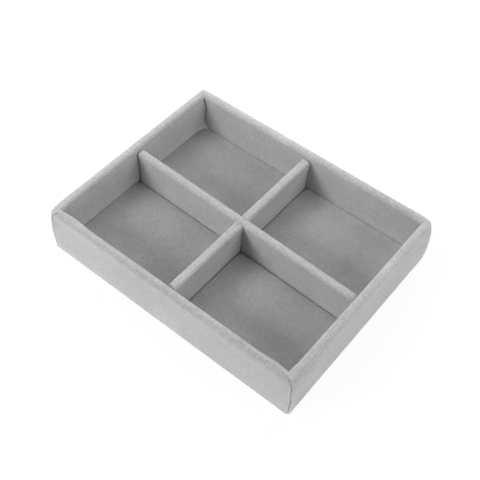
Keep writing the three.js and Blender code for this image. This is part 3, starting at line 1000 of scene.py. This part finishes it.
def blend_colours(tree, share, low, high):
    """From one colour to another by the share."""
    ramp = tree.nodes.new("ShaderNodeValToRGB")
    ramp.color_ramp.elements[0].color = (*low, 1)
    ramp.color_ramp.elements[1].color = (*high, 1)
    tree.links.new(share, ramp.inputs["Fac"])
    return ramp.outputs["Color"]


def add_relief(tree, shader, *heights):
    """Fine relief in the shading: (height, depth in millimetres) one on another."""
    normal = None
    for height, depth in heights:
        node = tree.nodes.new("ShaderNodeBump")
        node.inputs["Distance"].default_value = depth * MM
        tree.links.new(height, node.inputs["Height"])
        if normal:
            tree.links.new(normal, node.inputs["Normal"])
        normal = node.outputs["Normal"]
    tree.links.new(normal, shader.inputs["Normal"])


def grey(value):
    """A neutral grey."""
    return (value, value, value)


def velvet_finish():
    """Short-nap velvet: tufts, brushed patches and broad shading in one grey, matte, with the
    soft light edge that a pile has where it is seen aslant."""
    material, tree, shader, place = finish_nodes("grey velvet")
    tufts = add_noise(tree, place, 0.55, 3.0, 0.6)
    clumps = add_noise(tree, place, 1.7, 2.0)
    brushed = add_noise(tree, place, 7.0, 2.0)
    broad = add_noise(tree, place, 28.0, 1.0)
    opened = tree.nodes.new("ShaderNodeAttribute")
    opened.attribute_name = "opened_pile"
    tuft_weight = add_math(tree, "ADD", opened.outputs["Fac"], 1.35)
    parts = ((tufts, tuft_weight), (clumps, 0.5), (brushed, 0.3), (broad, 0.3))
    colour = blend_colours(tree, weighted(tree, *parts), grey(0.28), grey(0.52))
    # Each point's painted light and shade, with some plain tone, makes the colour lighter or darker
    pale = tree.nodes.new("ShaderNodeAttribute")
    pale.attribute_name = "tone_and_painted_light"
    paler = add_math(tree, "MULTIPLY", pale.outputs["Fac"], PALE_SHARE)
    lifted = tree.nodes.new("ShaderNodeVectorMath")
    lifted.operation = "SCALE"
    tree.links.new(colour, lifted.inputs[0])
    tree.links.new(add_math(tree, "ADD", paler, 1.0), lifted.inputs["Scale"])
    tree.links.new(lifted.outputs["Vector"], shader.inputs["Base Color"])
    shader.inputs["Roughness"].default_value = 0.95
    shader.inputs["Specular IOR Level"].default_value = 0.1
    shader.inputs["Sheen Weight"].default_value = 0.6
    shader.inputs["Sheen Roughness"].default_value = 0.4
    fibres = add_noise(tree, place, 0.16, 2.0, 0.6)
    add_relief(tree, shader, (tufts, 0.25), (fibres, 0.08))
    return material


def felt_finish():
    """Thin felt: flecks of fibre in a darker grey."""
    material, tree, shader, place = finish_nodes("base felt")
    flecks = add_noise(tree, place, 0.4, 4.0, 0.7, stretch=(1.0, 2.2, 1.0))
    clouds = add_noise(tree, place, 6.0, 2.0)
    share = weighted(tree, (flecks, 1.2), (clouds, 0.4))
    colour = blend_colours(tree, share, grey(0.16), grey(0.36))
    tree.links.new(colour, shader.inputs["Base Color"])
    shader.inputs["Roughness"].default_value = 0.95
    shader.inputs["Specular IOR Level"].default_value = 0.1
    shader.inputs["Sheen Weight"].default_value = 0.2
    add_relief(tree, shader, (flecks, 0.15))
    return material


def board_finish(name, low, high, fleck):
    """Pressed paper board: fine flecks in long pulp clouds, matte."""
    material, tree, shader, place = finish_nodes(name)
    flecks = add_noise(tree, place, fleck, 4.0, 0.65)
    pulp = add_noise(tree, place, 4.0, 2.0, stretch=(1.0, 1.0, 3.0))
    share = weighted(tree, (flecks, 1.0), (pulp, 0.6))
    tree.links.new(blend_colours(tree, share, low, high), shader.inputs["Base Color"])
    shader.inputs["Roughness"].default_value = 0.85
    shader.inputs["Specular IOR Level"].default_value = 0.25
    add_relief(tree, shader, (flecks, 0.05))
    return material


# The tray

velvet = velvet_finish()
walls = (
    ("front", 0, TRAY_LENGTH, TRAY_WIDTH, "front_left", "front_right"),
    ("right", 1, TRAY_WIDTH, TRAY_LENGTH, "front_right", "back_right"),
    ("back", 2, TRAY_LENGTH, TRAY_WIDTH, "back_right", "back_left"),
    ("left", 3, TRAY_WIDTH, TRAY_LENGTH, "back_left", "front_left"),
)
for side, quarter_turns, along, across, left, right in walls:
    wall_velvet(side + "_wall_velvet", quarter_turns, along, across, left, right, velvet)

half_run = INNER_LENGTH / 2 - CLOTH_CONTACT
notch = (CROSS_DIVIDER_X - NOTCH_HALF, CROSS_DIVIDER_X + NOTCH_HALF)
long_places = np.unique(np.concatenate([crowded(-half_run, half_run), notch]))

# How wide a divider's end is rolled in, and how far its top corner is eased down there
wall_end, low_end, butt_end = (0.65, 0.9), (0.65, 0.5), (0.6, 0.12)
divider_velvet(
    "long_divider_velvet",
    long_places,
    on_long_divider,
    (wall_end, low_end),
    notch,
    velvet,
)
crossing = long_divider_at(CROSS_DIVIDER_X)
butt = DIVIDER / 2 + CLOTH_CONTACT
wall_y = INNER_WIDTH / 2 - CLOTH_CONTACT
for name, start, end, ends in (
    ("cross_divider_velvet_front", -wall_y, crossing - butt, (low_end, butt_end)),
    ("cross_divider_velvet_back", crossing + butt, wall_y, (butt_end, wall_end)),
):
    places = crowded(start, end)
    if start < CROSS_PUCKER[1] < end:
        places = np.unique(np.concatenate([places, CROSS_PUCKER[1] + PUCKER_COLUMNS]))
    divider_velvet(name, places, across_tray, ends, None, velvet)

for depth_name, side_y in (("front", -1), ("back", 1)):
    for hand, side_x in (("left", -1), ("right", 1)):
        pad_velvet(f"floor_velvet_{depth_name}_{hand}", side_x, side_y, velvet)

base_lining(felt_finish())

greyboard = board_finish("pressed greyboard", (0.2, 0.185, 0.155), (0.34, 0.32, 0.28), 0.5)
card = board_finish("pale card", (0.6, 0.58, 0.53), (0.76, 0.74, 0.69), 0.35)
for node_name, node_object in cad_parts.items():
    if node_name.endswith("_board") or node_name.startswith("floor_card"):
        board = card if node_name.startswith("floor_card") else greyboard
        for material_slot in node_object.material_slots:
            material_slot.material = board

# Floor, light and camera


def white_for_camera(tree, shader, output, amount):
    """Mixes plain white of strength one into what the camera and mirrors see of a surface."""
    white = tree.nodes.new("ShaderNodeEmission")
    rays = tree.nodes.new("ShaderNodeLightPath")
    seen = add_math(tree, "MAXIMUM", rays.outputs["Is Camera Ray"], rays.outputs["Is Glossy Ray"])
    seen = add_math(tree, "MAXIMUM", seen, rays.outputs["Is Transmission Ray"])
    mix = tree.nodes.new("ShaderNodeMixShader")
    tree.links.new(add_math(tree, "MULTIPLY", seen, amount), mix.inputs["Fac"])
    tree.links.new(shader, mix.inputs[1])
    tree.links.new(white.outputs["Emission"], mix.inputs[2])
    tree.links.new(mix.outputs["Shader"], output)


def studio_floor():
    """A wide plain white floor just under the tray."""
    signs = ((-1, -1), (1, -1), (1, 1), (-1, 1))
    corners = [(x * FLOOR_HALF, y * FLOOR_HALF, FLOOR_LEVEL) for x, y in signs]
    mesh = bpy.data.meshes.new("studio_floor")
    mesh.from_pydata(corners, [], [(0, 1, 2, 3)])
    material, tree, shader, _ = finish_nodes("white floor")
    shader.inputs["Base Color"].default_value = (*grey(FLOOR_GREY), 1)
    shader.inputs["Roughness"].default_value = 0.9
    shader.inputs["Specular IOR Level"].default_value = 0.1
    output = next(node for node in tree.nodes if node.type == "OUTPUT_MATERIAL")
    white_for_camera(tree, shader.outputs["BSDF"], output.inputs["Surface"], FLOOR_WHITE)
    mesh.materials.append(material)
    floor = bpy.data.objects.new("studio_floor", mesh)
    bpy.context.scene.collection.objects.link(floor)


def studio_dome():
    """Even soft light from all round, plain white where the camera sees past the floor."""
    world = bpy.data.worlds.new("studio")
    bpy.context.scene.world = world
    world.use_nodes = True
    tree = world.node_tree
    dome = next(node for node in tree.nodes if node.type == "BACKGROUND")
    dome.inputs["Color"].default_value = (1, 1, 1, 1)
    dome.inputs["Strength"].default_value = DOME_STRENGTH
    output = next(node for node in tree.nodes if node.type == "OUTPUT_WORLD")
    white_for_camera(tree, dome.outputs["Background"], output.inputs["Surface"], 1.0)


def soft_lamp(name, azimuth, elevation, strength, spread, distance):
    """A round soft lamp that faces the tray's middle: its strength there, its width in degrees as
    seen from there, and its distance in metres."""
    azimuth, elevation = math.radians(azimuth), math.radians(elevation)
    level = math.cos(elevation)
    direction = (level * math.sin(azimuth), -level * math.cos(azimuth), math.sin(elevation))
    radius = distance * math.tan(math.radians(spread / 2))
    light = bpy.data.lights.new(name, "AREA")
    light.shape = "DISK"
    light.size = 2 * radius
    light.energy = strength * math.pi * (distance**2 + radius**2)
    lamp = bpy.data.objects.new(name, light)
    lamp.rotation_mode = "QUATERNION"
    lamp.rotation_quaternion = Vector(direction).to_track_quat("Z", "Y")
    lamp.location = Vector(direction) * distance
    bpy.context.scene.collection.objects.link(lamp)


def studio_camera():
    """A camera that looks at the target from the azimuth and elevation, turned by its roll."""
    azimuth, elevation, roll = map(
        math.radians, (CAMERA_AZIMUTH, CAMERA_ELEVATION, CAMERA_ROLL)
    )
    back = Vector(
        (
            math.sin(azimuth) * math.cos(elevation),
            -math.cos(azimuth) * math.cos(elevation),
            math.sin(elevation),
        )
    )
    right = Vector((math.cos(azimuth), math.sin(azimuth), 0))
    up = back.cross(right)
    turned = right * math.cos(roll) + up * math.sin(roll)
    raised = up * math.cos(roll) - right * math.sin(roll)
    data = bpy.data.cameras.new("camera")
    data.lens = CAMERA_LENS
    data.sensor_width = SENSOR_WIDTH
    data.clip_start = CLIP_START
    camera = bpy.data.objects.new("camera", data)
    place = Vector(CAMERA_TARGET) * MM + back * (CAMERA_DISTANCE * MM)
    axes = Matrix((turned, raised, back)).transposed()
    camera.matrix_world = Matrix.Translation(place) @ axes.to_4x4()
    bpy.context.scene.collection.objects.link(camera)
    bpy.context.scene.camera = camera


studio_floor()
studio_dome()
for lamp_name, lamp in LAMPS.items():
    soft_lamp(lamp_name, *lamp)
studio_camera()
bpy.context.scene.view_settings.view_transform = "Standard"
